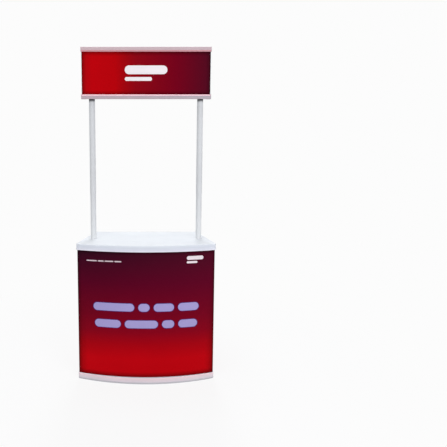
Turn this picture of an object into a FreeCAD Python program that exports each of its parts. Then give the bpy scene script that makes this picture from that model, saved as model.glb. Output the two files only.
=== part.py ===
import FreeCAD, Part
import os
from collections import namedtuple

# Promotional counter in moulded plastic: a base tray, a printed sheet wrapped round it with its
# back left open, a middle shelf, a table top that caps the sheet, and a header on two poles.
# Millimetres. X runs to the right, the customer's side is at minus Y, Z is up from the floor.

# Cabinet plan, measured on the outer face of the printed wrap
cabinet_front_width = 802.0
cabinet_rear_width = 672.0
cabinet_side_depth = 335.0
front_bow = 51.0
wrap_bend_radius = 12.0
sheet_thickness = 3.0
print_thickness = 0.4
back_opening_width = 420.0

# Table top
counter_height = 814.0
top_side_overhang = 6.0
top_corner_overhang = 4.0
top_front_overhang = 11.0
top_rear_overhang = 7.0
top_corner_radius = 14.0
top_edge_radius = 4.0
top_skin = 4.0
rim_height = 36.0
rim_lip_height = 13.0
rim_lip_flat = 4.0
rim_lip_out = 1.5
rim_wall = 3.0
rib_depth = 15.0
rib_thickness = 3.0
socket_depth = 60.0
socket_wall = 3.0
socket_floor = 3.0

# Base tray
base_height = 36.0
base_side_overhang = 3.0
base_corner_overhang = 1.5
base_front_overhang = 10.0
base_rear_overhang = 5.0
base_corner_radius = 13.0
base_edge_radius = 3.0
base_skin = 4.0
plinth_height = 6.0
plinth_edge_radius = 2.0

# Middle shelf and the lugs at its rear corners
shelf_height = 420.0
shelf_rim_height = 40.0
shelf_skin = 4.0
shelf_edge_radius = 3.0
lug_width = 29.0
lug_side_width = 24.0
lug_height = 49.0
lug_reach = 4.0
lug_edge_radius = 1.0

# Studs that pin the free ends of the wrap to the shelf
stud_edge_inset = 47.0
stud_drop = 31.0
stud_head_width = 32.0
stud_head_height = 12.0
stud_head_thickness = 4.0
stud_head_bevel = 0.8
stud_shank_radius = 4.0
stud_barb_out = 1.2
stud_barb_length = 3.0

# Poles
pole_inset = 57.5
pole_y = -3.0
lower_pole_radius = 17.0
upper_pole_radius = 18.0
pole_wall = 2.0
lower_pole_above_top = 278.0
coupler_reach = 50.0
coupler_wall = 3.0

# Header
header_above_top = 839.0
header_height = 297.0
header_overhang = 59.0
rail_height = 26.0
rail_depth = 13.0
rail_rear_wall = 3.0
rail_slot_depth = 16.0
rail_bevel_height = 7.0
rail_edge_radius = 2.0
board_thickness = 4.0
channel_wall = 1.5
channel_front_lip = 2.0
channel_rear_lip = 20.0
cap_wall = 2.5
cap_flange_width = 24.0
cap_flange_thickness = 1.5

# Brackets that carry the header on the poles
bracket_rise = 151.0
bracket_height = 70.0
bracket_width = 68.0
bracket_plate = 6.0
bracket_sleeve_wall = 3.0
bracket_lower_radius = 24.0
bracket_upper_radius = 5.0
bracket_dome_bevel = 2.5
bracket_roof = 3.0
bracket_screw_inset = 8.0
bracket_screw_drop = 7.0
bracket_screw_rise = 16.0

# Screws
screw_shank_radius = 1.6
screw_head_radius = 3.6
screw_head_height = 1.8
screw_crown_radius = 2.2
cap_screw_length = 8.0

# Print marks: plain rounded bars, given as lengths from left to right
bar_thickness = 0.3
message_drop = 325.0
message_pitch = 99.0
message_bar_height = 46.0
message_bar_gap = 24.0
message_top_lengths = (236.0, 64.0, 116.0, 120.0)
message_low_lengths = (150.0, 190.0, 70.0, 110.0)
message_edge = 3.0
small_mark_drop = 58.0
small_bar_height = 7.0
small_bar_gap = 6.0
small_bar_lengths = (60.0, 34.0, 50.0, 40.0)
small_bars_margin = 59.0
badge_margin = 71.0
badge_lengths = (98.0, 62.0)
badge_heights = (22.0, 12.0)
badge_gap = 8.0
title_lengths = (250.0, 160.0)
title_heights = (50.0, 22.0)
title_gap = 16.0

# Clearances
fit_gap = 0.3
lug_gap = 0.5
pole_rail_gap = 1.0
barb_gap = 0.2

V = FreeCAD.Vector
Plan = namedtuple("Plan", "front_half rear_half corner_y apex_y rear_y")

# Places worked out from the sizes above
total_depth = top_front_overhang + front_bow + cabinet_side_depth + top_rear_overhang
apex_y = top_front_overhang - total_depth / 2
corner_y = apex_y + front_bow
rear_y = corner_y + cabinet_side_depth
rim_bottom = counter_height - rim_height
plate_underside = counter_height - top_skin
wrap_inset = print_thickness + sheet_thickness
stud_x = back_opening_width / 2 + stud_edge_inset
stud_z = shelf_height - stud_drop
lug_bottom = shelf_height - lug_height
socket_radius = lower_pole_radius + fit_gap
pole_foot = plate_underside - socket_depth + socket_floor
pole_joint_height = counter_height + lower_pole_above_top
header_bottom = counter_height + header_above_top
header_top = header_bottom + header_height
rail_rear = pole_y - upper_pole_radius - pole_rail_gap
rail_front = rail_rear - rail_depth
board_rear = rail_rear - rail_rear_wall
board_front = board_rear - board_thickness
print_front = board_front - print_thickness
bracket_bottom = header_bottom + bracket_rise
bracket_bore_top = bracket_bottom + bracket_height - bracket_roof
pole_top = bracket_bore_top - fit_gap


def side_half_width(y):
    """Half the cabinet's width at a given depth."""
    front, rear = cabinet_front_width / 2, cabinet_rear_width / 2
    return front + (rear - front) * (y - corner_y) / cabinet_side_depth


pole_x = side_half_width(pole_y) - (pole_inset - top_side_overhang)
header_half = pole_x + header_overhang
rail_half = header_half - cap_wall
board_half = rail_half - channel_wall


def plan_face(side, corner, front, rear, radius):
    """The cabinet's plan grown by an overhang on each side, with rounded corners."""
    plan = Plan(cabinet_front_width / 2 + side, cabinet_rear_width / 2 + side,
                corner_y - corner, apex_y - front, rear_y + rear)
    left_front = V(-plan.front_half, plan.corner_y, 0)
    right_front = V(plan.front_half, plan.corner_y, 0)
    right_rear = V(plan.rear_half, plan.rear_y, 0)
    left_rear = V(-plan.rear_half, plan.rear_y, 0)
    bow = Part.Arc(left_front, V(0, plan.apex_y, 0), right_front).toShape()
    sides = Part.makePolygon([right_front, right_rear, left_rear, left_front])
    block = Part.Face(Part.Wire([bow] + sides.Edges)).extrude(V(0, 0, radius))
    uprights = [edge for edge in block.Edges if edge.BoundBox.ZLength > radius / 2]
    block = block.makeFillet(radius, uprights)
    return [face for face in block.Faces if face.BoundBox.ZMax < radius / 2][0]


def outline(face, inset, z):
    """The face's outline drawn in by an inset, or out by a negative one, at height z."""
    wire = face.OuterWire
    if inset:
        wire = wire.makeOffset2D(-inset)
    wire = wire.copy()
    wire.translate(V(0, 0, z))
    return wire


def slab(face, inset, low, high):
    return Part.Face(outline(face, inset, low)).extrude(V(0, 0, high - low))


def edges_at(shape, z):
    """Edges that lie flat at height z."""
    level = 0.001
    return [edge for edge in shape.Edges
            if abs(edge.BoundBox.ZMin - z) < level and abs(edge.BoundBox.ZMax - z) < level]


def rounded_slab(face, inset, low, high, radius):
    block = slab(face, inset, low, high)
    return block.makeFillet(radius, edges_at(block, high))


def box(x_low, x_high, y_low, y_high, z_low, z_high):
    return Part.makeBox(x_high - x_low, y_high - y_low, z_high - z_low, V(x_low, y_low, z_low))


def upright(radius, x, y, low, high):
    return Part.makeCylinder(radius, high - low, V(x, y, low), V(0, 0, 1))


def tube(radius, wall, x, y, low, high):
    return upright(radius, x, y, low, high).cut(upright(radius - wall, x, y, low, high))


def pin(radius, x, z, y_from, y_to):
    """A round bar along Y."""
    return Part.makeCylinder(radius, y_to - y_from, V(x, y_from, z), V(0, 1, 0))


wrap_plan = plan_face(0, 0, 0, 0, wrap_bend_radius)
top_plan = plan_face(top_side_overhang, top_corner_overhang, top_front_overhang,
                     top_rear_overhang, top_corner_radius)
base_plan = plan_face(base_side_overhang, base_corner_overhang, base_front_overhang,
                      base_rear_overhang, base_corner_radius)


def base_tray():
    """Shallow tray with a ledge for the wrap to stand on and a low plinth inside it."""
    plinth_inset = wrap_inset + fit_gap
    plinth_top = base_height + plinth_height
    tray = rounded_slab(base_plan, 0, 0, base_height, base_edge_radius)
    tray = tray.fuse(rounded_slab(wrap_plan, plinth_inset, 0, plinth_top, plinth_edge_radius))
    tray = tray.cut(slab(base_plan, base_skin, 0, base_height - base_skin))
    tray = tray.cut(slab(wrap_plan, plinth_inset + base_skin, 0, plinth_top - base_skin))
    return tray.removeSplitter()


def table_top():
    """Capped moulding: plate, flared rim, a rib that locates the wrap and two pole sockets."""
    lip_top = rim_bottom + rim_lip_height
    flare_start = rim_bottom + rim_lip_flat
    top = rounded_slab(top_plan, rim_lip_out, lip_top, counter_height, top_edge_radius)
    top = top.fuse(slab(top_plan, 0, rim_bottom, flare_start))
    flare = Part.makeLoft([outline(top_plan, 0, flare_start),
                           outline(top_plan, rim_lip_out, lip_top)], True, True)
    top = top.fuse(flare)
    top = top.cut(slab(top_plan, rim_lip_out + rim_wall, rim_bottom, plate_underside))
    rib_inset = wrap_inset + fit_gap
    rib = slab(wrap_plan, rib_inset, plate_underside - rib_depth, plate_underside)
    rib = rib.cut(slab(wrap_plan, rib_inset + rib_thickness,
                       plate_underside - rib_depth, plate_underside))
    top = top.fuse(rib)
    for x in (-pole_x, pole_x):
        low = plate_underside - socket_depth
        top = top.fuse(upright(socket_radius + socket_wall, x, pole_y, low, plate_underside))
        top = top.cut(upright(socket_radius, x, pole_y, pole_foot, counter_height))
    return top.removeSplitter()


def wrap_cutters():
    """What is cut out of the wrap: the open back, the lug windows and the stud holes."""
    high = counter_height
    half = back_opening_width / 2
    cutters = [box(-half, half, 0, total_depth, 0, high)]
    for side in (-1, 1):
        inner = side * (cabinet_rear_width / 2 - lug_width - lug_gap)
        outer = side * cabinet_front_width
        cutters.append(box(min(inner, outer), max(inner, outer),
                           rear_y - lug_side_width - lug_gap, total_depth,
                           lug_bottom, shelf_height + lug_gap))
        cutters.append(pin(stud_shank_radius + fit_gap, side * stud_x, stud_z, 0, total_depth))
    return cutters


def wrap_layer(inset, thickness):
    """One layer of the wrap between the base ledge and the underside of the table top."""
    layer = slab(wrap_plan, inset, base_height, plate_underside)
    layer = layer.cut(slab(wrap_plan, inset + thickness, base_height, plate_underside))
    return layer.cut(wrap_cutters())


def middle_shelf():
    """Shelf moulding inside the wrap, with lugs that stand through windows in the wrap."""
    inset = wrap_inset + fit_gap
    low = shelf_height - shelf_rim_height
    shelf = rounded_slab(wrap_plan, inset, low, shelf_height, shelf_edge_radius)
    shelf = shelf.cut(slab(wrap_plan, inset + shelf_skin, low, shelf_height - shelf_skin))
    lugs = rounded_slab(wrap_plan, -lug_reach, lug_bottom, shelf_height, lug_edge_radius)
    lugs = lugs.cut(slab(wrap_plan, inset + shelf_skin, lug_bottom, shelf_height))
    for side in (-1, 1):
        inner = side * (cabinet_rear_width / 2 - lug_width)
        outer = side * cabinet_front_width
        corner = box(min(inner, outer), max(inner, outer),
                     rear_y - lug_side_width, total_depth, lug_bottom, shelf_height)
        shelf = shelf.fuse(lugs.common(corner))
        hole = pin(stud_shank_radius + fit_gap, side * stud_x, stud_z, 0, total_depth)
        shelf = shelf.cut(hole)
    return shelf.removeSplitter()


def panel_stud(side):
    """Push-in stud: a half-moon head outside, a shank and a barb behind the shelf's rim."""
    x = side * stud_x
    half_width, half_height = stud_head_width / 2, stud_head_height / 2
    left = V(x - half_width, rear_y, stud_z + half_height)
    right = V(x + half_width, rear_y, stud_z + half_height)
    curve = Part.Arc(left, V(x, rear_y, stud_z - half_height), right).toShape()
    flat = Part.LineSegment(right, left).toShape()
    head = Part.Face(Part.Wire([curve, flat])).extrude(V(0, stud_head_thickness, 0))
    outer = rear_y + stud_head_thickness
    rim = [edge for edge in head.Edges if edge.BoundBox.YMin > outer - stud_head_bevel]
    head = head.makeChamfer(stud_head_bevel, rim)
    barb_end = rear_y - wrap_inset - fit_gap - shelf_skin - barb_gap
    shank = pin(stud_shank_radius, x, stud_z, barb_end - stud_barb_length, rear_y)
    barb = pin(stud_shank_radius + stud_barb_out, x, stud_z,
               barb_end - stud_barb_length, barb_end)
    return head.fuse(shank).fuse(barb).removeSplitter()


def lower_pole(side):
    return tube(lower_pole_radius, pole_wall, side * pole_x, pole_y,
                pole_foot, pole_joint_height)


def upper_pole(side):
    return tube(upper_pole_radius, pole_wall, side * pole_x, pole_y,
                pole_joint_height, pole_top)


def pole_coupler(side):
    """Stepped plug that joins a lower pole to an upper one from inside."""
    x = side * pole_x
    upper = upper_pole_radius - pole_wall - fit_gap
    lower = lower_pole_radius - pole_wall - fit_gap
    low, high = pole_joint_height - coupler_reach, pole_joint_height + coupler_reach
    plug = upright(upper, x, pole_y, pole_joint_height, high)
    plug = plug.fuse(upright(lower, x, pole_y, low, pole_joint_height))
    return plug.cut(upright(lower - coupler_wall, x, pole_y, low, high)).removeSplitter()


def header_rail(outer_z, towards_board):
    """Rail along the board's edge: a slot for the board and a bevel on its front lip."""
    slot = rail_height - rail_slot_depth
    section = ((rail_front, 0), (rail_rear, 0), (rail_rear, rail_height),
               (board_rear, rail_height), (board_rear, slot), (print_front, slot),
               (print_front, rail_height), (rail_front, rail_height - rail_bevel_height))
    points = [V(-rail_half, y, outer_z + towards_board * height) for y, height in section]
    rail = Part.Face(Part.makePolygon(points + points[:1])).extrude(V(2 * rail_half, 0, 0))
    long_edges = [edge for edge in edges_at(rail, outer_z) if edge.BoundBox.XLength > rail_half]
    rail = rail.makeFillet(rail_edge_radius, long_edges)
    for side in (-1, 1):
        x, z = cap_screw_place(side, outer_z, towards_board)
        rail = rail.cut(pin(screw_shank_radius, x, z,
                            rail_rear + cap_flange_thickness - cap_screw_length, rail_rear))
    return rail


def cap_screw_place(side, outer_z, towards_board):
    x = side * (header_half - cap_flange_width / 2)
    return x, outer_z + towards_board * (rail_height - rail_slot_depth) / 2


def header_cap(side, outer_z, towards_board):
    """End cap of a rail with a flange on its back, held by one screw."""
    inner_z = outer_z + towards_board * rail_height
    low, high = min(outer_z, inner_z), max(outer_z, inner_z)
    end, joint = side * header_half, side * rail_half
    flange = side * (header_half - cap_flange_width)
    plate = box(min(end, joint), max(end, joint), rail_front, rail_rear, low, high)
    back = box(min(end, flange), max(end, flange), rail_rear,
               rail_rear + cap_flange_thickness, low, high)
    cap = plate.fuse(back).removeSplitter()
    x, z = cap_screw_place(side, outer_z, towards_board)
    return cap.cut(pin(screw_shank_radius, x, z, rail_rear, rail_rear + cap_flange_thickness))


def screw(x, z, seat_y, length):
    """Screw whose tapered head sits on a face that looks backwards."""
    shank = pin(screw_shank_radius, x, z, seat_y - length, seat_y)
    head = Part.makeCone(screw_head_radius, screw_crown_radius, screw_head_height,
                         V(x, seat_y, z), V(0, 1, 0))
    return shank.fuse(head).removeSplitter()


def cap_screws():
    places = [cap_screw_place(side, outer_z, way)
              for side in (-1, 1) for outer_z, way in ((header_bottom, 1), (header_top, -1))]
    return Part.makeCompound([screw(x, z, rail_rear + cap_flange_thickness, cap_screw_length)
                              for x, z in places])


def bracket_screw_places(side):
    """Two screws near the plate's foot and two near its top."""
    reach = bracket_width / 2 - bracket_screw_inset
    heights = (bracket_bottom + bracket_screw_rise,
               bracket_bottom + bracket_height - bracket_screw_drop)
    return [(side * pole_x + across * reach, z) for across in (-1, 1) for z in heights]


def bracket_screws():
    seat = board_rear + bracket_plate
    length = bracket_plate + board_thickness
    return Part.makeCompound([screw(x, z, seat, length)
                              for side in (-1, 1) for x, z in bracket_screw_places(side)])


def header_bracket(side):
    """Plate with a rounded foot on the back of the board, and a sleeve over the pole's end."""
    x = side * pole_x
    top = bracket_bottom + bracket_height
    plate = box(x - bracket_width / 2, x + bracket_width / 2,
                board_rear, board_rear + bracket_plate, bracket_bottom, top)
    across = [edge for edge in plate.Edges if edge.BoundBox.YLength > bracket_plate / 2]
    middle = bracket_bottom + bracket_height / 2
    plate = plate.makeFillet(bracket_lower_radius, [e for e in across if e.BoundBox.ZMax < middle])
    across = [edge for edge in plate.Edges if edge.BoundBox.YLength > bracket_plate / 2
              and edge.BoundBox.ZMin > middle]
    plate = plate.makeFillet(bracket_upper_radius, across)
    bore = upper_pole_radius + fit_gap
    sleeve = upright(bore + bracket_sleeve_wall, x, pole_y, bracket_bottom, top)
    sleeve = sleeve.makeChamfer(bracket_dome_bevel, edges_at(sleeve, top))
    front_half_space = box(x - bracket_width, x + bracket_width,
                           board_rear - bracket_width, board_rear, bracket_bottom, top)
    bracket = plate.fuse(sleeve.cut(front_half_space))
    bracket = bracket.cut(upright(bore, x, pole_y, bracket_bottom, bracket_bore_top))
    for screw_x, screw_z in bracket_screw_places(side):
        bracket = bracket.cut(pin(screw_shank_radius, screw_x, screw_z,
                                  board_rear, board_rear + bracket_plate))
    return bracket.removeSplitter()


def board_layer(front, rear):
    edge = rail_height - rail_slot_depth
    return box(-board_half, board_half, front, rear, header_bottom + edge, header_top - edge)


def header_board():
    board = board_layer(board_front, board_rear)
    for side in (-1, 1):
        for x, z in bracket_screw_places(side):
            board = board.cut(pin(screw_shank_radius, x, z, board_front, board_rear))
    return board


def header_channel(side):
    """Upright channel that grips a side edge of the board between the two rails."""
    low, high = header_bottom + rail_height, header_top - rail_height
    front, back = print_front - channel_wall, board_rear + channel_wall

    def wall(inner_half, y_low, y_high):
        inner, outer = side * inner_half, side * rail_half
        return box(min(inner, outer), max(inner, outer), y_low, y_high, low, high)

    channel = wall(board_half, front, back)
    channel = channel.fuse(wall(rail_half - channel_front_lip, front, print_front))
    channel = channel.fuse(wall(rail_half - channel_rear_lip, board_rear, back))
    return channel.removeSplitter()


def bar_face(x, z, length, height, y):
    """A bar with round ends, upright in the plane at depth y."""
    half, radius = length / 2 - height / 2, height / 2
    low_left, low_right = V(x - half, y, z - radius), V(x + half, y, z - radius)
    high_left, high_right = V(x - half, y, z + radius), V(x + half, y, z + radius)
    right = Part.Arc(low_right, V(x + length / 2, y, z), high_right).toShape()
    left = Part.Arc(high_left, V(x - length / 2, y, z), low_left).toShape()
    bottom = Part.LineSegment(low_left, low_right).toShape()
    top = Part.LineSegment(high_right, high_left).toShape()
    return Part.Face(Part.Wire([bottom, right, top, left]))


def row_of_bars(left, z, lengths, height, gap):
    """Places of the bars of one row, from its left end: centre and size of each."""
    row = []
    for length in lengths:
        row.append((left + length / 2, z, length, height))
        left += length + gap
    return row


def bars_on_front(bars):
    """Thin bars that follow the bowed front of the wrap."""
    low = min(z - height for x, z, length, height in bars)
    high = max(z + height for x, z, length, height in bars)
    skin = slab(wrap_plan, -bar_thickness, low, high).cut(slab(wrap_plan, 0, low, high))
    solids = []
    for x, z, length, height in bars:
        prism = bar_face(x, z, length, height, -total_depth).extrude(V(0, total_depth, 0))
        solids += skin.common(prism).Solids
    return Part.makeCompound(solids)


def message_rows():
    """The two rows of the message, each bar as drawn without its edge."""
    bars = []
    for index, lengths in enumerate((message_top_lengths, message_low_lengths)):
        z = rim_bottom - message_drop - index * message_pitch
        width = sum(lengths) + message_bar_gap * (len(lengths) - 1)
        bars += row_of_bars(-width / 2, z, lengths, message_bar_height, message_bar_gap)
    return bars


def message_edges():
    """A thin darker edge round each bar of the message."""
    grown = [(x, z, length + 2 * message_edge, height + 2 * message_edge)
             for x, z, length, height in message_rows()]
    outer = bars_on_front(grown).Solids
    inner = bars_on_front(message_rows()).Solids
    return Part.makeCompound([whole.cut(core) for whole, core in zip(outer, inner)])


def small_print():
    z = rim_bottom - small_mark_drop
    left = small_bars_margin - cabinet_front_width / 2
    return bars_on_front(row_of_bars(left, z, small_bar_lengths,
                                     small_bar_height, small_bar_gap))


def stacked(left, centre_z, lengths, heights, gap):
    """Bars one below the other, flush at their left ends."""
    z = centre_z + (sum(heights) + gap * (len(heights) - 1)) / 2
    bars = []
    for length, height in zip(lengths, heights):
        bars.append((left + length / 2, z - height / 2, length, height))
        z -= height + gap
    return bars


def badge_print():
    z = rim_bottom - small_mark_drop + badge_gap
    left = cabinet_front_width / 2 - badge_margin - max(badge_lengths)
    return bars_on_front(stacked(left, z, badge_lengths, badge_heights, badge_gap))


def title_print():
    middle = header_bottom + header_height / 2
    bars = stacked(-max(title_lengths) / 2, middle, title_lengths, title_heights, title_gap)
    return Part.makeCompound([bar_face(x, z, length, height, print_front)
                              .extrude(V(0, -bar_thickness, 0)) for x, z, length, height in bars])


nodes = {
    "base_tray": base_tray(),
    "wrap_panel": wrap_layer(print_thickness, sheet_thickness),
    "wrap_print": wrap_layer(0, print_thickness),
    "wrap_message_bars": bars_on_front(message_rows()),
    "wrap_message_edges": message_edges(),
    "wrap_small_print": small_print(),
    "wrap_badge": badge_print(),
    "middle_shelf": middle_shelf(),
    "table_top": table_top(),
    "header_board": header_board(),
    "header_print": board_layer(print_front, board_front),
    "header_title": title_print(),
    "header_top_rail": header_rail(header_top, -1),
    "header_bottom_rail": header_rail(header_bottom, 1),
    "header_cap_screws": cap_screws(),
    "header_bracket_screws": bracket_screws(),
}
for name, side in (("left", -1), ("right", 1)):
    nodes["panel_stud_" + name] = panel_stud(side)
    nodes["lower_pole_" + name] = lower_pole(side)
    nodes["upper_pole_" + name] = upper_pole(side)
    nodes["pole_coupler_" + name] = pole_coupler(side)
    nodes["header_bracket_" + name] = header_bracket(side)
    nodes["header_channel_" + name] = header_channel(side)
    nodes["header_cap_top_" + name] = header_cap(side, header_top, -1)
    nodes["header_cap_bottom_" + name] = header_cap(side, header_bottom, 1)

os.makedirs("parts", exist_ok=True)
for name, shape in nodes.items():
    shape.exportStep("parts/" + name + ".step")
    print(f"{name}: {len(shape.Solids)} solids, {shape.Volume / 1000:.1f} cm3, "
          f"valid {shape.isValid()}")
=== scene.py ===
import math
import bmesh
import bpy
from mathutils import Matrix, Vector


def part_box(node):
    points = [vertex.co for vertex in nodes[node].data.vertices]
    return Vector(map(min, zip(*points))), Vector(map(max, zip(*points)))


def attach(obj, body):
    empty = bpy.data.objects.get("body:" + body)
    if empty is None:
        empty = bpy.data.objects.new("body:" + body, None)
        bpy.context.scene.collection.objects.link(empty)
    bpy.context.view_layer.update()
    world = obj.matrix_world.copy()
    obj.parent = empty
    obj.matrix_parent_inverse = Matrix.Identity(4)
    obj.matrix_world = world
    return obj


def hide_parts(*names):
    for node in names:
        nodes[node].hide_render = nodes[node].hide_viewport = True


# Promotional counter seen from the customer's side, a little above the table top.
# Metres. The front is at minus Y, and Z is up from the floor.

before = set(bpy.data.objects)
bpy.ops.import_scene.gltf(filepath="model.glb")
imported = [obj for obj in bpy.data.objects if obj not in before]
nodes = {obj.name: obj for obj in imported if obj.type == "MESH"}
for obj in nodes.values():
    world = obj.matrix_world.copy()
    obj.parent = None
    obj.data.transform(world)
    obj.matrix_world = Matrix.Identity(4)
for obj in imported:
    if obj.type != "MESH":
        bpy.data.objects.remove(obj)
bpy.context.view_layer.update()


def linear(red, green, blue):
    """A colour written in display values from 0 to 255, as the linear one that shaders take."""
    def one(value):
        value /= 255
        return value / 12.92 if value <= 0.04045 else ((value + 0.055) / 1.055) ** 2.4
    return one(red), one(green), one(blue), 1.0


# Camera
image_size = 447
focal_pixels = 338.1
principal_x = 146.05
principal_y = 191.37
camera_place = (0.0, -2.060, 1.2745)
camera_tilt_down = 0.0824
sensor_width = 36.0

# Lamps: name, place, aim, size and watts
lamps = (
    ("key_lamp", (2.1, -3.0, 1.9), (0.0, 0.0, 0.8), 2.0, 72.0),
    ("fill_lamp", (-2.4, -3.0, 1.5), (0.0, 0.0, 0.8), 2.0, 33.0),
    ("top_lamp", (-0.4, -0.1, 3.9), (0.0, 0.0, 0.8), 2.2, 56.0),
    ("back_lamp", (0.2, 3.3, 2.9), (0.0, 0.0, 0.7), 1.7, 88.0),
)
# Lamps that the satin table top would mirror as a glare, from one side or another
unmirrored_lamps = ("key_lamp", "fill_lamp", "back_lamp")
world_colour = linear(238, 240, 244)
world_strength = 0.36
backdrop_colour = linear(252, 252, 252)
floor_half_size = 30.0
floor_bounce_colour = linear(222, 222, 223)
# The floor near the object: how much of its white is paint, which takes the shadow
shadow_share = 0.12
shadow_paint_colour = linear(238, 238, 240)
shadow_reach = (0.7, 1.7)

# Faces told apart by one part of their normal: where each kind starts and is full
upward_band = (0.55, 0.85)
frontward_band = (0.1, -0.5)
rearward_band = (0.2, 0.6)

# White mouldings: scuffs, and the clouding of their rims
scuff_tone = (196, 196, 201)
scuff_share = 0.5
scuff_stretch = (9.0, 60.0, 60.0)
scuff_roughness = 0.12
rim_cloud_tone = (0.94, 0.94, 0.95, 1.0)

# Extrusions: scale of the draw lines along a piece and across it
line_scale_along = 1.2
line_scale_across = 260.0

# Tubes: the light they take from the table top, with where it starts and is full above the top
tube_roughness = 0.36
tube_specular = 0.2
pole_glow_tone = (240, 242, 243)
pole_glow_share = 0.4
pole_glow_fade = (0.26, 0.02)
# The rail's shade on the front of a tube: where it starts and is full below the rail's lower
# edge, and how far above that edge it ends
rail_shade_tone = (62, 63, 65)
rail_shade_fade = (0.018, 0.005)
rail_shade_end = 0.010

# Rails: slope of their bevelled lips, which take painted light, as the height of their normal, and
# how sharply it is told
rail_roughness = 0.45
lip_slope = 0.62
lip_band = (0.06, 0.30)
rail_rear_tone = (178, 178, 184)
cap_rear_tone = (206, 208, 211)

# Sheet and steel
sheet_stretch = (5.0, 5.0, 42.0)
brush_stretch = (1500.0, 200.0, 300.0)

# Screws: a domed head with a crossed recess. The dome's outline is in shares of the head's
# radius and height
screw_head_height = 0.0018
screw_shank_radius = 0.0016
screw_point_length = 0.0015
screw_dome = ((0.0, 1.0), (0.30, 0.98), (0.60, 0.90), (0.85, 0.68), (0.97, 0.36), (1.0, 0.12),
              (0.96, 0.0))
screw_sides = 40
recess_length = 0.0040
recess_width = 0.0009
recess_depth = 0.0011
recess_taper = 0.55
screw_turn = math.radians(37)
screw_sharp_angle = math.radians(35)
weld_distance = 1e-6

black = (0.0, 0.0, 0.0, 1.0)
# Painted shade: the prints darken towards their edges, and the wrap's front more towards its
# lower corners, from a share of its height where that starts to one where it is full
print_edge_shade_tone = (0.40, 0.40, 0.40, 1.0)
print_edge_shade_reach = 0.027
print_edge_shade_power = 1.3
wrap_corner_shade_tone = (0.57, 0.57, 0.57, 1.0)
wrap_corner_shade_reach = 0.055
wrap_corner_shade_fade = (0.75, 0.10)
# Share of the wrap's depth where its front run starts to give way to the rear one
wrap_bend_share = 0.13
print_specular = 0.03
mark_specular = 0.08
table_rim_height = 0.036

# Colour runs of the two prints: place along the run from 0 to 1, and colour
wrap_front_run = (
    (0.14, (192, 1, 14)), (0.25, (166, 1, 16)), (0.35, (134, 2, 25)), (0.48, (113, 2, 28)),
    (0.72, (84, 1, 31)), (0.90, (57, 6, 29)), (1.00, (34, 12, 25)),
)
wrap_lift_colour = linear(128, 14, 44)
wrap_lift_share = 0.24
wrap_rear_run = ((0.0, (186, 2, 12)), (0.5, (158, 2, 12)), (1.0, (134, 2, 14)))
header_run = (
    (0.00, (166, 6, 14)), (0.08, (186, 1, 11)), (0.26, (180, 1, 10)), (0.33, (160, 3, 13)),
    (0.42, (138, 4, 19)), (0.74, (111, 1, 25)), (1.00, (76, 8, 30)),
)
# Painted shading up the base's rim and the table top's, from 0 at the lower edge to 1 at the upper
# one.
# The base's rim has a painted pink-white highlight along its upper edge and is darker towards the
# floor; the table top's rim has painted highlights along its lower and upper edges
base_rim_shading_run = (
    (0.00, (180, 179, 185)), (0.16, (196, 194, 200)), (0.30, (222, 214, 221)),
    (0.62, (230, 213, 219)), (0.86, (244, 212, 219)), (1.00, (255, 214, 222)),
)
table_rim_shading_run = (
    (0.00, (236, 232, 243)), (0.16, (214, 216, 227)), (0.60, (209, 214, 224)),
    (0.88, (214, 219, 227)), (1.00, (222, 226, 233)),
)


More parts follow.
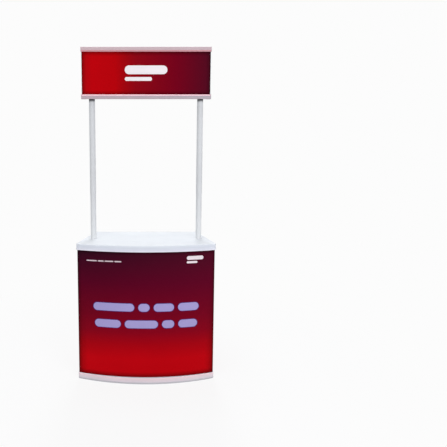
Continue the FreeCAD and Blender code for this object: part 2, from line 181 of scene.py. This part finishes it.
class Maker:
    """Adds shader nodes to one material and links them."""

    def __init__(self, name):
        self.material = bpy.data.materials.new(name)
        self.material.use_nodes = True
        self.tree = self.material.node_tree
        self.bsdf = self.tree.nodes["Principled BSDF"]
        self.place = self.add("ShaderNodeTexCoord").outputs["Object"]

    def add(self, kind, **settings):
        node = self.tree.nodes.new(kind)
        for key, value in settings.items():
            setattr(node, key, value)
        return node

    def link(self, source, target):
        self.tree.links.new(source, target)

    def stretched(self, scale):
        """Object coordinates scaled by axis, for grain that runs one way."""
        mapping = self.add("ShaderNodeMapping")
        mapping.inputs["Scale"].default_value = scale
        self.link(self.place, mapping.inputs["Vector"])
        return mapping.outputs["Vector"]

    def noise(self, scale, detail=3.0, roughness=0.5, vector=None):
        node = self.add("ShaderNodeTexNoise")
        node.inputs["Scale"].default_value = scale
        node.inputs["Detail"].default_value = detail
        node.inputs["Roughness"].default_value = roughness
        self.link(vector or self.place, node.inputs["Vector"])
        return node.outputs["Fac"]

    def remap(self, value, low, high, from_low=0.3, from_high=0.7):
        """A value moved from one span to another, clamped. A noise's own span is the usual one."""
        node = self.add("ShaderNodeMapRange")
        node.inputs["From Min"].default_value = from_low
        node.inputs["From Max"].default_value = from_high
        node.inputs["To Min"].default_value = low
        node.inputs["To Max"].default_value = high
        self.link(value, node.inputs["Value"])
        return node.outputs["Result"]

    def band(self, value, start, full):
        """0 up to the start of a band, 1 from where it is full."""
        return self.remap(value, 0.0, 1.0, start, full)

    def mix(self, fac, first, second, blend="MIX"):
        node = self.add("ShaderNodeMix", data_type="RGBA", blend_type=blend)
        self.set(fac, node.inputs[0])
        self.set(first, node.inputs[6])
        self.set(second, node.inputs[7])
        return node.outputs[2]

    def run(self, value, stops):
        """A colour run with its stops written as place and display colour."""
        ramp = self.add("ShaderNodeValToRGB")
        elements = ramp.color_ramp.elements
        elements[0].position, elements[1].position = stops[0][0], stops[-1][0]
        elements[0].color, elements[1].color = linear(*stops[0][1]), linear(*stops[-1][1])
        for place, colour in stops[1:-1]:
            elements.new(place).color = linear(*colour)
        self.link(value, ramp.inputs["Fac"])
        return ramp.outputs["Color"]

    def set(self, value, socket):
        """Links a node's output to a socket, or writes a plain value in it."""
        if isinstance(value, bpy.types.NodeSocket):
            self.link(value, socket)
        else:
            socket.default_value = value

    def maths(self, operation, first, second):
        node = self.add("ShaderNodeMath", operation=operation)
        self.set(first, node.inputs[0])
        self.set(second, node.inputs[1])
        return node.outputs[0]

    def product(self, first, second):
        return self.maths("MULTIPLY", first, second)

    def total(self, first, second):
        return self.maths("ADD", first, second)

    def axis(self, name):
        split = self.add("ShaderNodeSeparateXYZ")
        self.link(self.place, split.inputs["Vector"])
        return split.outputs[name]

    def slope(self, name):
        """One part of the surface's normal."""
        split = self.add("ShaderNodeSeparateXYZ")
        self.link(self.add("ShaderNodeNewGeometry").outputs["Normal"], split.inputs["Vector"])
        return split.outputs[name]

    def inside(self, name, low, high, reach):
        """0 at both ends of a span along one axis, rising to 1 within a reach of them."""
        from_low = self.maths("SUBTRACT", self.axis(name), low)
        from_high = self.maths("SUBTRACT", high, self.axis(name))
        return self.band(self.maths("MINIMUM", from_low, from_high), 0.0, reach)

    def bump(self, height, strength, distance):
        node = self.add("ShaderNodeBump")
        node.inputs["Strength"].default_value = strength
        node.inputs["Distance"].default_value = distance
        self.link(height, node.inputs["Height"])
        self.link(node.outputs["Normal"], self.bsdf.inputs["Normal"])
        return node

    def bump_over(self, first, height, strength, distance):
        """A second bump laid over the first."""
        node = self.bump(height, strength, distance)
        self.link(first.outputs["Normal"], node.inputs["Normal"])
        return node

    def finish(self, colour, roughness, specular=0.5):
        self.set(colour, self.bsdf.inputs["Base Color"])
        self.set(roughness, self.bsdf.inputs["Roughness"])
        self.set(specular, self.bsdf.inputs["Specular IOR Level"])
        return self.material


def moulded_plastic(name, light, dark, roughness, rim=None):
    """Satin moulded plastic: faint clouding, fine scuffs, a spark-eroded grain and a soft wave.

    A rim takes painted shading from a run between two heights, on the faces that don't look up.
    """
    make = Maker(name)
    cloud = make.remap(make.noise(scale=5.0, detail=4.0, roughness=0.55), 0.0, 1.0)
    colour = make.mix(cloud, linear(*dark), linear(*light))
    if rim:
        run, low, high = rim
        rise = make.band(make.axis("Z"), low, high)
        clouded = make.mix(cloud, rim_cloud_tone, (1.0, 1.0, 1.0, 1.0))
        upright_shading = make.mix(1.0, make.run(rise, run), clouded, "MULTIPLY")
        looks_up = make.band(make.slope("Z"), *upward_band)
        colour = make.mix(looks_up, upright_shading, colour)
    scuffs = make.noise(scale=1.0, detail=5.0, roughness=0.62,
                        vector=make.stretched(scuff_stretch))
    scuffs = make.band(scuffs, start=0.60, full=0.74)
    colour = make.mix(make.product(scuffs, scuff_share), colour, linear(*scuff_tone))
    wear = make.noise(scale=17.0, detail=5.0, roughness=0.6)
    worn = make.remap(wear, roughness - 0.05, roughness + 0.07)
    worn = make.total(worn, make.product(scuffs, scuff_roughness))
    wave = make.bump(make.noise(scale=9.0, detail=2.0), strength=0.12, distance=0.004)
    make.bump_over(wave, make.noise(scale=1400.0, detail=2.0), strength=0.10, distance=0.0002)
    return make.finish(colour, worn, specular=0.4)


def draw_lines(make, light, dark, along):
    """Tone and height of extruded plastic, with faint draw lines along one axis."""
    scale = [line_scale_along if axis == along else line_scale_across for axis in "XYZ"]
    lines = make.noise(scale=1.0, detail=3.0, roughness=0.6, vector=make.stretched(scale))
    cloud = make.noise(scale=6.0, detail=3.0)
    tone = make.mix(make.remap(cloud, 0.0, 1.0), linear(*dark), linear(*light))
    return make.mix(make.remap(lines, 0.0, 0.25), tone, linear(*dark)), lines


def drawn_finish(make, colour, lines, roughness, specular=0.45):
    """Lays the draw lines into the roughness and the surface."""
    worn = make.remap(lines, roughness - 0.06, roughness + 0.06)
    make.bump(lines, strength=0.18, distance=0.0003)
    return make.finish(colour, worn, specular)


def drawn_plastic(name, light, dark, roughness, along):
    """Plain extruded plastic."""
    make = Maker(name)
    colour, lines = draw_lines(make, light, dark, along)
    return drawn_finish(make, colour, lines, roughness)


def tube_plastic(name, light, dark):
    """Extruded tube, with painted light from the table top, lighter down to it.

    The header's rail throws a shade on the front of the tube right below it.
    """
    table_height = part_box("table_top")[1].z
    rail_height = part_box("header_bottom_rail")[0].z
    make = Maker(name)
    colour, lines = draw_lines(make, light, dark, "Z")
    height = make.axis("Z")
    near_top = make.band(height, *[table_height + fade for fade in pole_glow_fade])
    colour = make.mix(make.product(near_top, pole_glow_share), colour, linear(*pole_glow_tone))
    near_rail = make.band(height, *[rail_height - fade for fade in rail_shade_fade])
    below_head = make.band(height, rail_height + rail_shade_end, rail_height)
    shade = make.product(near_rail, below_head)
    front = make.band(make.slope("Y"), *frontward_band)
    colour = make.mix(make.product(shade, front), colour, linear(*rail_shade_tone))
    return drawn_finish(make, colour, lines, tube_roughness, tube_specular)


def rail_plastic(name, left, right, low_lip_light, high_lip_light, rear_tone):
    """Extruded rail. Its front takes a painted pink reflection of the print it frames, more so
    at the left.

    Its bevelled lips, one looking down and one up, take painted light of their own.
    """
    make = Maker(name)
    low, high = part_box("header_print")
    across = make.band(make.axis("X"), low.x, high.x)
    front = make.mix(across, linear(*left), linear(*right))
    slope = make.slope("Z")
    for tint, height in ((low_lip_light, -lip_slope), (high_lip_light, lip_slope)):
        off = make.maths("ABSOLUTE", make.maths("SUBTRACT", slope, height), 0.0)
        front = make.mix(make.remap(off, 1.0, 0.0, *lip_band), front, linear(*tint))
    tones, lines = draw_lines(make, light=(255, 255, 255), dark=(246, 246, 246), along="X")
    behind = make.band(make.slope("Y"), *rearward_band)
    colour = make.mix(1.0, make.mix(behind, front, linear(*rear_tone)), tones, "MULTIPLY")
    return drawn_finish(make, colour, lines, rail_roughness)


def sheet_plastic(name, light, dark, roughness):
    """Matt extruded sheet with a faint pull across it."""
    make = Maker(name)
    pull = make.noise(scale=1.0, detail=3.0, vector=make.stretched(sheet_stretch))
    colour = make.mix(make.remap(pull, 0.0, 1.0), linear(*dark), linear(*light))
    wear = make.noise(scale=60.0, detail=3.0)
    worn = make.remap(wear, roughness - 0.04, roughness + 0.04)
    wave = make.bump(make.noise(scale=4.0, detail=2.0), strength=0.15, distance=0.006)
    make.bump_over(wave, make.noise(scale=900.0, detail=2.0), strength=0.08, distance=0.0002)
    return make.finish(colour, worn, specular=0.3)


def print_grain(make, colour):
    """Breaks a printed colour up with the fine mottle of solid ink on film."""
    mottle = make.noise(scale=700.0, detail=2.0, roughness=0.6)
    cloud = make.noise(scale=3.0, detail=3.0)
    colour = make.mix(make.remap(mottle, 0.0, 0.10), colour, black)
    return make.mix(make.remap(cloud, 0.0, 0.08), colour, black)


def shaded_edges(make, colour, *spans):
    """Paints shade on a print towards the ends of each span, given as axis, low and high."""
    middle = 1.0
    for name, low, high in spans:
        middle = make.product(make.inside(name, low, high, print_edge_shade_reach), middle)
    edge = make.maths("POWER", make.maths("SUBTRACT", 1.0, middle), print_edge_shade_power)
    return make.mix(edge, colour, print_edge_shade_tone, "MULTIPLY")


def printed_film(make, colour, specular):
    """Laminated print: ink mottle, a lay-flat waviness and a fine film texture."""
    worn = make.remap(make.noise(scale=30.0, detail=4.0), 0.42, 0.56)
    wave = make.bump(make.noise(scale=3.2, detail=2.0), strength=0.10, distance=0.006)
    make.bump_over(wave, make.noise(scale=1100.0, detail=2.0), strength=0.05, distance=0.0001)
    return make.finish(print_grain(make, colour), worn, specular)


def wrap_print():
    """Red at the foot to dark wine at the top, and redder round the back."""
    low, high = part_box("wrap_print")
    make = Maker("wrap_print_film")
    rise = make.band(make.axis("Z"), low.z, high.z)
    front = make.run(rise, wrap_front_run)
    across = make.band(make.axis("X"), low.x, high.x)
    lift = make.product(make.product(rise, rise), make.product(across, wrap_lift_share))
    front = make.mix(lift, front, wrap_lift_colour)
    # Painted shade towards the front's lower corners, where the print bends away from the light
    outer = make.maths("SUBTRACT", 1.0, make.inside("X", low.x, high.x, wrap_corner_shade_reach))
    corner = make.product(outer, make.band(rise, *wrap_corner_shade_fade))
    front = make.mix(corner, front, wrap_corner_shade_tone, "MULTIPLY")
    rear = make.run(rise, wrap_rear_run)
    bend_y = low.y + wrap_bend_share * (high.y - low.y)
    colour = make.mix(make.band(make.axis("Y"), bend_y, high.y), front, rear)
    # Painted shade along the print's edges, under the table top's rim and above the base
    table_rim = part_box("table_top")[1].z - table_rim_height
    colour = shaded_edges(make, colour, ("X", low.x, high.x),
                          ("Z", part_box("base_tray")[1].z, table_rim))
    return printed_film(make, colour, print_specular)


def header_print():
    """Red at the left to dark wine at the right."""
    low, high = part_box("header_print")
    make = Maker("header_print_film")
    across = make.band(make.axis("X"), low.x, high.x)
    # Painted shade along the print's edges, where the rails' lips overhang it
    colour = shaded_edges(make, make.run(across, header_run), ("X", low.x, high.x),
                          ("Z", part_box("header_bottom_rail")[1].z,
                           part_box("header_top_rail")[0].z))
    return printed_film(make, colour, print_specular)


def flat_print(name, colour):
    """One solid printed colour."""
    return printed_film(Maker(name), linear(*colour), mark_specular)


def zinc_steel():
    """Zinc-plated steel with a fine brushed grain."""
    make = Maker("zinc_steel")
    brush = make.noise(scale=1.0, detail=3.0, roughness=0.6, vector=make.stretched(brush_stretch))
    colour = make.mix(make.remap(brush, 0.0, 1.0), linear(176, 178, 182), linear(205, 206, 208))
    make.bsdf.inputs["Metallic"].default_value = 1.0
    make.bump(brush, strength=0.1, distance=0.0001)
    return make.finish(colour, make.remap(brush, 0.28, 0.42))


def dress_nodes(steel):
    """Gives every CAD node its finish."""
    base_low, base_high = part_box("base_tray")
    table_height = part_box("table_top")[1].z
    white = moulded_plastic("white_moulding", (214, 218, 225), (208, 212, 220), 0.42)
    finishes = {
        # The base's up-facing faces are lighter than the other mouldings: painted light on its
        # shaded ledge and floor inside
        "base_tray": moulded_plastic("base_moulding", (226, 233, 242), (220, 228, 238), 0.45,
                                     (base_rim_shading_run, base_low.z, base_high.z)),
        "table_top": moulded_plastic("table_moulding", (216, 220, 225), (210, 214, 220), 0.42,
                                     (table_rim_shading_run, table_height - table_rim_height,
                                      table_height)),
        "middle_shelf": moulded_plastic("shelf_moulding", (219, 226, 237), (213, 221, 232), 0.42),
        "wrap_panel": sheet_plastic("wrap_sheet", (226, 225, 227), (219, 219, 222), 0.55),
        "wrap_print": wrap_print(),
        "wrap_message_bars": flat_print("message_print", (165, 156, 208)),
        "wrap_message_edges": flat_print("message_edge_print", (58, 38, 112)),
        "wrap_small_print": flat_print("small_print", (214, 196, 204)),
        "wrap_badge": flat_print("badge_print", (238, 226, 232)),
        "header_board": sheet_plastic("header_sheet", (207, 207, 217), (200, 200, 210), 0.5),
        "header_print": header_print(),
        "header_title": flat_print("title_print", (240, 234, 238)),
    }
    tube = tube_plastic("tube_extrusion", (211, 213, 216), (201, 203, 206))
    # Rail fronts at left and right carry a painted pink reflection; their lips carry painted light
    top_tones = (195, 172, 178), (192, 171, 178), (211, 149, 158), (211, 198, 203)
    low_tones = (183, 163, 172), (173, 164, 172), (188, 168, 174), (252, 206, 218)
    top_rail = rail_plastic("top_rail", *top_tones, rail_rear_tone)
    top_cap = rail_plastic("top_cap", *top_tones, cap_rear_tone)
    low_rail = rail_plastic("low_rail", *low_tones, rail_rear_tone)
    low_cap = rail_plastic("low_cap", *low_tones, cap_rear_tone)
    channel = drawn_plastic("channel_extrusion", (222, 225, 226), (213, 216, 219), 0.45, "Z")
    bracket = moulded_plastic("bracket_moulding", (232, 232, 240), (224, 225, 234), 0.35)
    coupler = moulded_plastic("coupler_moulding", (160, 160, 165), (150, 150, 156), 0.5)
    by_start = (("lower_pole", tube), ("upper_pole", tube), ("pole_coupler", coupler),
                ("panel_stud", white), ("header_bracket_screws", steel),
                ("header_cap_screws", steel), ("header_cap_top", top_cap),
                ("header_cap_bottom", low_cap), ("header_top_rail", top_rail),
                ("header_bottom_rail", low_rail), ("header_channel", channel),
                ("header_bracket", bracket))
    for name, node in nodes.items():
        finish = finishes.get(name)
        if finish is None:
            finish = next(material for start, material in by_start if name.startswith(start))
        for slot in node.material_slots:
            slot.material = finish


def loose_parts(node):
    """Lowest and highest corner of each loose part of a node's mesh."""
    work = bmesh.new()
    work.from_mesh(node.data)
    bmesh.ops.remove_doubles(work, verts=work.verts, dist=weld_distance)
    parts = []
    seen = set()
    for start in work.verts:
        if start in seen:
            continue
        seen.add(start)
        part, ahead = [], [start]
        while ahead:
            vert = ahead.pop()
            part.append(vert.co.copy())
            for edge in vert.link_edges:
                other = edge.other_vert(vert)
                if other not in seen:
                    seen.add(other)
                    ahead.append(other)
        low = Vector([min(place[axis] for place in part) for axis in range(3)])
        high = Vector([max(place[axis] for place in part) for axis in range(3)])
        parts.append((low, high))
    work.free()
    return parts


def object_of(name, data):
    """A new object in the scene, made from a mesh, lamp or camera."""
    made = bpy.data.objects.new(name, data)
    bpy.context.scene.collection.objects.link(made)
    return made


def turned_screw(radius, length):
    """A screw along Y with its seat at the origin: an outline turned round its axis."""
    outline = [(share * radius, rise * screw_head_height) for share, rise in screw_dome]
    outline += [(screw_shank_radius, 0.0), (screw_shank_radius, screw_point_length - length),
                (0.0, -length)]
    work = bmesh.new()
    verts = [work.verts.new((out, along, 0.0)) for out, along in outline]
    edges = [work.edges.new(pair) for pair in zip(verts, verts[1:])]
    bmesh.ops.spin(work, geom=verts + edges, axis=(0, 1, 0), cent=(0, 0, 0),
                   steps=screw_sides, angle=math.tau, use_merge=True)
    bmesh.ops.remove_doubles(work, verts=work.verts, dist=weld_distance)
    bmesh.ops.recalc_face_normals(work, faces=work.faces)
    mesh = bpy.data.meshes.new("screw")
    work.to_mesh(mesh)
    work.free()
    return mesh


def crossed_recess():
    """A tapered cross that stands in the crown of a screw's head."""
    long, short = recess_length / 2, recess_width / 2
    arm = [(short, long), (-short, long), (-short, short)]
    corners = []
    for quarter in range(4):
        turn = Matrix.Rotation(quarter * math.pi / 2, 2)
        corners += [turn @ Vector(corner) for corner in arm]
    work = bmesh.new()
    rings = []
    for along, size in ((screw_head_height + recess_depth, 1.0),
                        (screw_head_height - recess_depth, recess_taper)):
        rings.append([work.verts.new((x * size, along, z * size)) for x, z in corners])
        work.faces.new(rings[-1])
    for index in range(len(corners)):
        after = (index + 1) % len(corners)
        work.faces.new((rings[0][index], rings[0][after], rings[1][after], rings[1][index]))
    bmesh.ops.recalc_face_normals(work, faces=work.faces)
    mesh = bpy.data.meshes.new("recess")
    work.to_mesh(mesh)
    work.free()
    return mesh


def recessed_screw(radius, length):
    """The mesh of a screw with the cross cut out of its head."""
    screw = object_of("screw", turned_screw(radius, length))
    cutter = object_of("recess", crossed_recess())
    cut = screw.modifiers.new("recess", "BOOLEAN")
    cut.operation = "DIFFERENCE"
    cut.solver = "EXACT"
    cut.object = cutter
    graph = bpy.context.evaluated_depsgraph_get()
    mesh = bpy.data.meshes.new_from_object(screw.evaluated_get(graph))
    bpy.data.objects.remove(screw)
    bpy.data.objects.remove(cutter)
    return mesh


def make_screws(node_name, finish):
    """Detailed screws in the places of a node's plain ones, each turned its own way."""
    work = bmesh.new()
    for index, (low, high) in enumerate(loose_parts(nodes[node_name])):
        seat = high.y - screw_head_height
        single = recessed_screw((high.x - low.x) / 2, seat - low.y)
        place = Matrix.Translation(((low.x + high.x) / 2, seat, (low.z + high.z) / 2))
        single.transform(place @ Matrix.Rotation(index * screw_turn, 4, "Y"))
        work.from_mesh(single)
        bpy.data.meshes.remove(single)
    bmesh.ops.remove_doubles(work, verts=work.verts, dist=weld_distance)
    bmesh.ops.dissolve_degenerate(work, edges=work.edges, dist=weld_distance)
    mesh = bpy.data.meshes.new(node_name + "_recessed")
    work.to_mesh(mesh)
    work.free()
    mesh.shade_smooth()
    mesh.set_sharp_from_angle(angle=screw_sharp_angle)
    mesh.materials.append(finish)
    piece = object_of(mesh.name, mesh)
    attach(piece, "root")
    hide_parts(node_name)


def make_camera():
    data = bpy.data.cameras.new("camera")
    data.sensor_width = sensor_width
    data.lens = sensor_width * focal_pixels / image_size
    data.shift_x = (image_size / 2 - principal_x) / image_size
    data.shift_y = (principal_y - image_size / 2) / image_size
    camera = object_of("camera", data)
    camera.location = camera_place
    camera.rotation_euler = (math.pi / 2 - camera_tilt_down, 0, 0)
    bpy.context.scene.camera = camera


def make_lamps():
    for name, place, aim, size, watts in lamps:
        data = bpy.data.lights.new(name, "AREA")
        data.shape = "SQUARE"
        data.size = size
        data.energy = watts
        lamp = object_of(name, data)
        lamp.visible_glossy = name not in unmirrored_lamps
        lamp.location = place
        lamp.rotation_euler = (Vector(place) - Vector(aim)).to_track_quat("Z", "Y").to_euler()


def seen_directly(tree):
    """1 for camera, mirror and see-through rays, 0 for the rays that carry light."""
    path = tree.nodes.new("ShaderNodeLightPath")
    total = None
    for name in ("Is Camera Ray", "Is Glossy Ray", "Is Transmission Ray"):
        if total is None:
            total = path.outputs[name]
            continue
        add = tree.nodes.new("ShaderNodeMath")
        add.operation = "ADD"
        add.use_clamp = True
        tree.links.new(total, add.inputs[0])
        tree.links.new(path.outputs[name], add.inputs[1])
        total = add.outputs[0]
    return total


def make_world():
    world = bpy.data.worlds.new("studio")
    world.use_nodes = True
    tree = world.node_tree
    background = tree.nodes["Background"]
    background.inputs["Color"].default_value = world_colour
    background.inputs["Strength"].default_value = world_strength
    backdrop = tree.nodes.new("ShaderNodeBackground")
    backdrop.inputs["Color"].default_value = backdrop_colour
    mix = tree.nodes.new("ShaderNodeMixShader")
    tree.links.new(seen_directly(tree), mix.inputs[0])
    tree.links.new(background.outputs[0], mix.inputs[1])
    tree.links.new(backdrop.outputs[0], mix.inputs[2])
    tree.links.new(mix.outputs[0], tree.nodes["World Output"].inputs["Surface"])
    bpy.context.scene.world = world


def make_floor():
    """White floor that runs into the backdrop and takes a faint shadow near the object."""
    mesh = bpy.data.meshes.new("floor")
    half = floor_half_size
    mesh.from_pydata([(-half, -half, 0), (half, -half, 0), (half, half, 0), (-half, half, 0)],
                     [], [(0, 1, 2, 3)])
    floor = object_of("floor", mesh)
    make = Maker("studio_floor")
    tree = make.tree
    away = make.add("ShaderNodeVectorMath", operation="LENGTH")
    make.link(make.place, away.inputs[0])
    share = make.remap(away.outputs["Value"], shadow_share, 0.0, *shadow_reach)
    shadow_paint = make.add("ShaderNodeBsdfDiffuse")
    shadow_paint.inputs["Color"].default_value = shadow_paint_colour
    glow = make.add("ShaderNodeEmission")
    glow.inputs["Color"].default_value = backdrop_colour
    glow.inputs["Strength"].default_value = 1.0
    shown = make.add("ShaderNodeMixShader")
    make.link(share, shown.inputs[0])
    make.link(glow.outputs[0], shown.inputs[1])
    make.link(shadow_paint.outputs[0], shown.inputs[2])
    bounce = make.add("ShaderNodeBsdfDiffuse")
    bounce.inputs["Color"].default_value = floor_bounce_colour
    mix = make.add("ShaderNodeMixShader")
    make.link(seen_directly(tree), mix.inputs[0])
    make.link(bounce.outputs[0], mix.inputs[1])
    make.link(shown.outputs[0], mix.inputs[2])
    make.link(mix.outputs[0], tree.nodes["Material Output"].inputs["Surface"])
    tree.nodes.remove(make.bsdf)
    mesh.materials.append(make.material)


steel = zinc_steel()
dress_nodes(steel)
for name in ("header_bracket_screws", "header_cap_screws"):
    make_screws(name, steel)
make_camera()
make_lamps()
make_world()
make_floor()
bpy.context.scene.view_settings.view_transform = "Standard"
